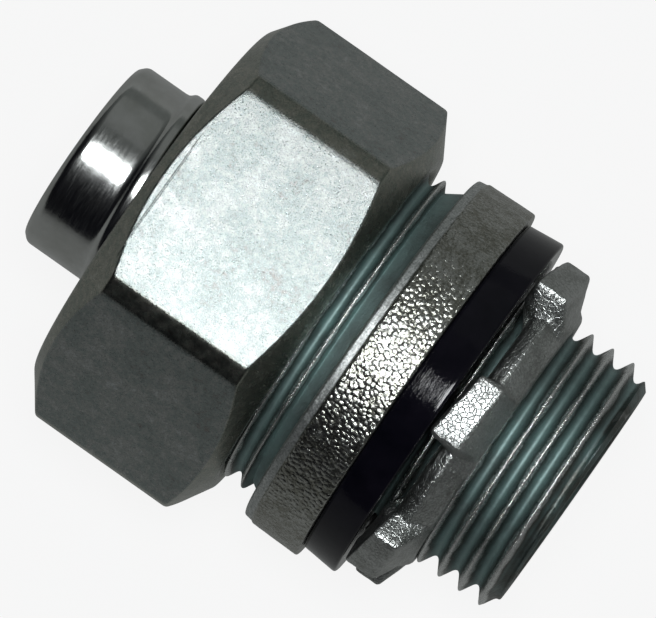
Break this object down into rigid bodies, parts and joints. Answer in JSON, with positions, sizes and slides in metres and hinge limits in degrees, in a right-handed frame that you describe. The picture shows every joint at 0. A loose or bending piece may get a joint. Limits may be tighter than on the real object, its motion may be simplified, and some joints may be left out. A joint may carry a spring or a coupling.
{
  "type": "pipe union",
  "caption": "Straight threaded conduit union: hexagon compression nut with ferrule at one end, round collar with rubber gasket, and a threaded hub with a lugged locknut.",
  "frame": {"origin": "on the common axis, in the plane of the collar's seat face, where the gasket bears", "axes": "+X along the axis towards the hub's threaded end, +Z square to one pair of the nut's flats, +Y across the nut's corners"},
  "size_m": [0.0439, 0.0358, 0.0322],
  "materials": {
    "cast_body": "zinc plated, rough cast on the collar, cut on the threads",
    "plated_nut": "zinc plated, satin, slightly clouded",
    "plated_ferrule": "zinc plated, bright turned",
    "nylon": "matt natural nylon",
    "plated_washer": "zinc plated",
    "gasket_rubber": "matt black with a faint sheen",
    "cast_locknut": "zinc plated over a pebbled casting"
  },
  "bodies": {
    "body": {"connector_body": "cast_body"},
    "gasket": {"panel_gasket": "gasket_rubber"},
    "locknut": {"locknut": "cast_locknut"},
    "seal_pack": {"sealing_ring": "nylon", "slip_washer": "plated_washer"},
    "nut": {"compression_nut": "plated_nut"},
    "ferrule": {"conduit_ferrule": "plated_ferrule"}
  },
  "joints": [
    {"name": "seal_advance", "type": "slide", "parent": "body", "child": "seal_pack", "axis": [1, 0, 0], "range_m": [-0.0046, 0.0021]},
    {"name": "compression_nut_turn", "type": "hinge", "parent": "seal_pack", "child": "nut", "pos_m": [0, 0, 0], "axis": [1, 0, 0], "range_deg": [-1080, 480]},
    {"name": "gasket_travel", "type": "slide", "parent": "body", "child": "gasket", "axis": [1, 0, 0], "range_m": [0, 0.0074]},
    {"name": "locknut_turn", "type": "hinge", "parent": "gasket", "child": "locknut", "pos_m": [0, 0, 0], "axis": [1, 0, 0], "range_deg": [0, 1440]},
    {"name": "ferrule_play", "type": "slide", "parent": "body", "child": "ferrule", "axis": [1, 0, 0], "range_m": [-0.0005, 0]}
  ],
  "couplings": [
    {"joint": "seal_advance", "follows": "compression_nut_turn", "m_per_rad": 0.00023873},
    {"joint": "gasket_travel", "follows": "locknut_turn", "m_per_rad": 0.00028875}
  ]
}
